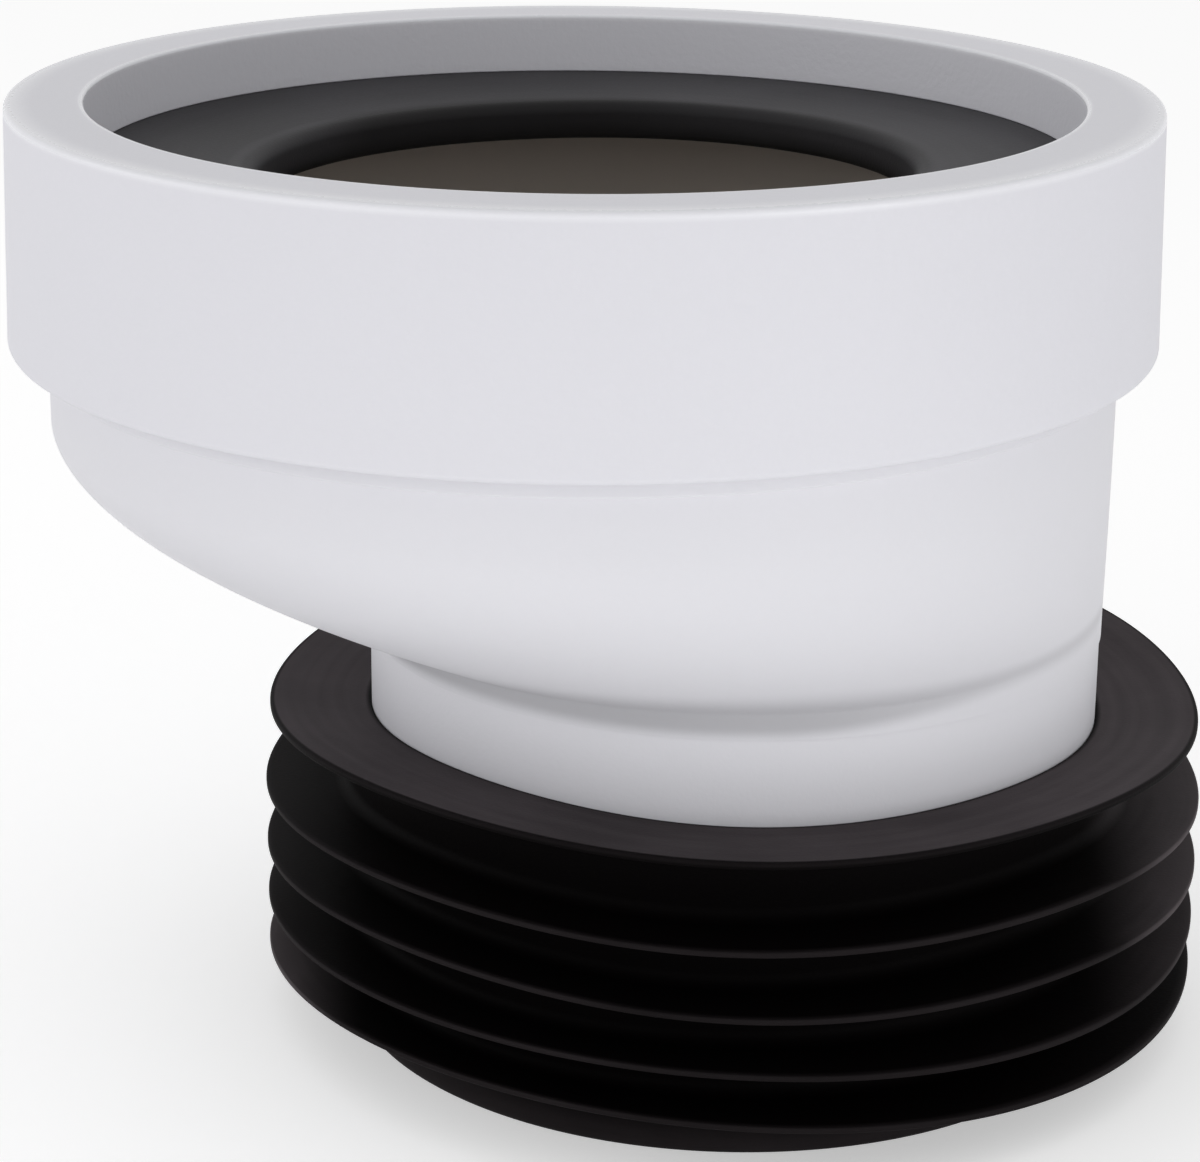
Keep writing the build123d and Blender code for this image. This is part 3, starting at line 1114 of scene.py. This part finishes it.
# %% Floor
FLOOR_ALBEDO = 0.85
FLOOR_GLOW = 0.42
FLOOR_SIZE = 6.0


def seen_ray(tree):
    """1 for rays from the camera and from reflections or glass, and 0 for the light that falls on things."""
    path = tree.node("ShaderNodeLightPath", output="Is Camera Ray")
    mirrored = tree.maths("MAXIMUM", path.output("Is Glossy Ray"), path.output("Is Transmission Ray"))
    return tree.maths("MAXIMUM", path, mirrored)


def floor_material():
    material, tree, shader = start_material("white_table")
    shader.inputs["Base Color"].default_value = (FLOOR_ALBEDO, FLOOR_ALBEDO, FLOOR_ALBEDO, 1)
    shader.inputs["Roughness"].default_value = 1.0
    shader.inputs["Specular IOR Level"].default_value = 0.0
    glow = tree.node("ShaderNodeEmission", sockets={"Strength": seen_ray(tree) * FLOOR_GLOW})
    lit = tree.node("ShaderNodeAddShader", sockets={0: Wire(tree.tree, shader.outputs[0]), 1: glow})
    clear = tree.node("ShaderNodeBsdfTransparent")
    below = tree.node("ShaderNodeNewGeometry", output="Backfacing")
    either = tree.node("ShaderNodeMixShader", sockets={0: below, 1: lit, 2: clear})
    feed(tree, material.node_tree.nodes["Material Output"], "Surface", either)
    return material


def make_floor():
    mesh = bpy.data.meshes.new("table_top")
    half = FLOOR_SIZE / 2
    corners = [(-half, -half), (half, -half), (half, half), (-half, half)]
    mesh.from_pydata([(x, y, FLOOR_Z) for x, y in corners], [], [(0, 1, 2, 3)])
    mesh.materials.append(floor_material())
    made = bpy.data.objects.new("table_top", mesh)
    bpy.context.scene.collection.objects.link(made)


make_floor()
print(f"floor at {FLOOR_Z / MM:.1f} mm")

# %% [markdown]
# The tent is the world: even light from every side above. The walls of the part look nearly the same
# from top to bottom and from left to right, so soft lamps fill in what the tent leaves:
#
# * one large card and two narrow ones lie flat on the table and shine up under the bowl and the cap
# * one more card lies behind the part, so that its back is nearly as white as its front
# * three long, low lamps stand in front and to both sides and light the walls
# * two boxes hang higher up at the left and right, and a third lamp stands out to the left
#
# They are all lamps of one kind, so a level of 1 means as bright as a white card in full light. The
# camera doesn't see them. Places and sizes are in metres, from the middle of the part's foot.

# %% Light
TENT_LEVEL = 0.61
CARD_LIFT = 0.001
LAMP_AIM = (0.0, 0.0, 0.06)
FLAT_CARDS = {
    "card_front": ((0.0, -0.34), (1.2, 0.5), 0.32),
    "near_front": ((0.015, -0.115), (0.40, 0.10), 0.16),
    "near_right": ((0.13, 0.0), (0.10, 0.40), 0.07),
    "near_back": ((0.0, 0.24), (0.22, 0.30), 1.0),
}
STANDING_LAMPS = {
    "fill_front": ((0.0, -0.75, 0.06), (1.0, 0.14), 0.34),
    "fill_left": ((-0.55, -0.55, 0.06), (0.4, 0.14), 1.58),
    "fill_right": ((0.55, -0.55, 0.06), (0.4, 0.14), 5.56),
    "box_left": ((-0.8, -0.5, 0.55), (0.6, 0.6), 0.65),
    "box_right": ((0.8, -0.5, 0.55), (0.6, 0.6), 0.19),
    "side_left": ((-0.9, 0.0, 0.25), (0.6, 0.4), 1.10),
}
PART_FOOT = Vector(((cad_low.x + cad_high.x) / 2, 0.0, FLOOR_Z))


def make_tent():
    world = bpy.data.worlds.new("white_tent")
    bpy.context.scene.world = world
    world.use_nodes = True
    tree = Wire(world.node_tree)
    backdrop = world.node_tree.nodes["Background"]
    feed(tree, backdrop, "Strength", seen_ray(tree) * (1.0 - TENT_LEVEL) + TENT_LEVEL)
    backdrop.inputs["Color"].default_value = (1.0, 1.0, 1.0, 1)


def soft_lamp(name, place, aim, size, level):
    """A lamp of a card's size, as bright as a card of that level."""
    lamp = bpy.data.lights.new(name, "AREA")
    lamp.shape = "RECTANGLE"
    lamp.size, lamp.size_y = size
    lamp.energy = level * math.pi * size[0] * size[1]
    made = bpy.data.objects.new(name, lamp)
    turn = (Vector(aim) - Vector(place)).to_track_quat("-Z", "Y")
    made.matrix_world = Matrix.LocRotScale(Vector(place) + PART_FOOT, turn, None)
    bpy.context.scene.collection.objects.link(made)


make_tent()
for name, ((x, y), size, level) in FLAT_CARDS.items():
    soft_lamp(name, (x, y, CARD_LIFT), (x, y, 1.0), size, level)
for name, (place, size, level) in STANDING_LAMPS.items():
    soft_lamp(name, place, LAMP_AIM, size, level)
print("lamps:", [*FLAT_CARDS, *STANDING_LAMPS])

# %% [markdown]
# ## Camera
# The camera stands where the one that took the picture stood: close, a little above the cap and tipped
# down. Its place was found from the ellipses of the level circles, so it is a measured value and not a
# matter of taste.

# %% Camera
CAMERA_PLACE = Vector((-18.85, -412.59, 158.19)) * MM
CAMERA_YAW = math.radians(0.264)
CAMERA_PITCH = math.radians(18.083)
CAMERA_ROLL = math.radians(0.498)
FOCAL_PIXELS = 3443.5
IMAGE_WIDTH = 1200
SENSOR_WIDTH = 36.0
CLIP_START = 0.01


def camera_axes():
    """Right, up and back of the camera, from its yaw, pitch and roll."""
    level_ahead = Vector((math.sin(CAMERA_YAW), math.cos(CAMERA_YAW), 0.0))
    ahead = level_ahead * math.cos(CAMERA_PITCH) - Vector((0.0, 0.0, math.sin(CAMERA_PITCH)))
    level_right = Vector((math.cos(CAMERA_YAW), -math.sin(CAMERA_YAW), 0.0))
    up = level_right.cross(ahead)
    right = level_right * math.cos(CAMERA_ROLL) + up * math.sin(CAMERA_ROLL)
    return Matrix((right, right.cross(ahead), -ahead)).transposed()


def make_camera():
    data = bpy.data.cameras.new("camera")
    data.sensor_width = SENSOR_WIDTH
    data.lens = FOCAL_PIXELS * SENSOR_WIDTH / IMAGE_WIDTH
    data.clip_start = CLIP_START
    made = bpy.data.objects.new("camera", data)
    bpy.context.scene.collection.objects.link(made)
    made.matrix_world = Matrix.Translation(CAMERA_PLACE) @ camera_axes().to_4x4()
    bpy.context.scene.camera = made
    print(f"camera with a {data.lens:.1f} mm lens")


make_camera()
bpy.context.scene.view_settings.view_transform = "Standard"
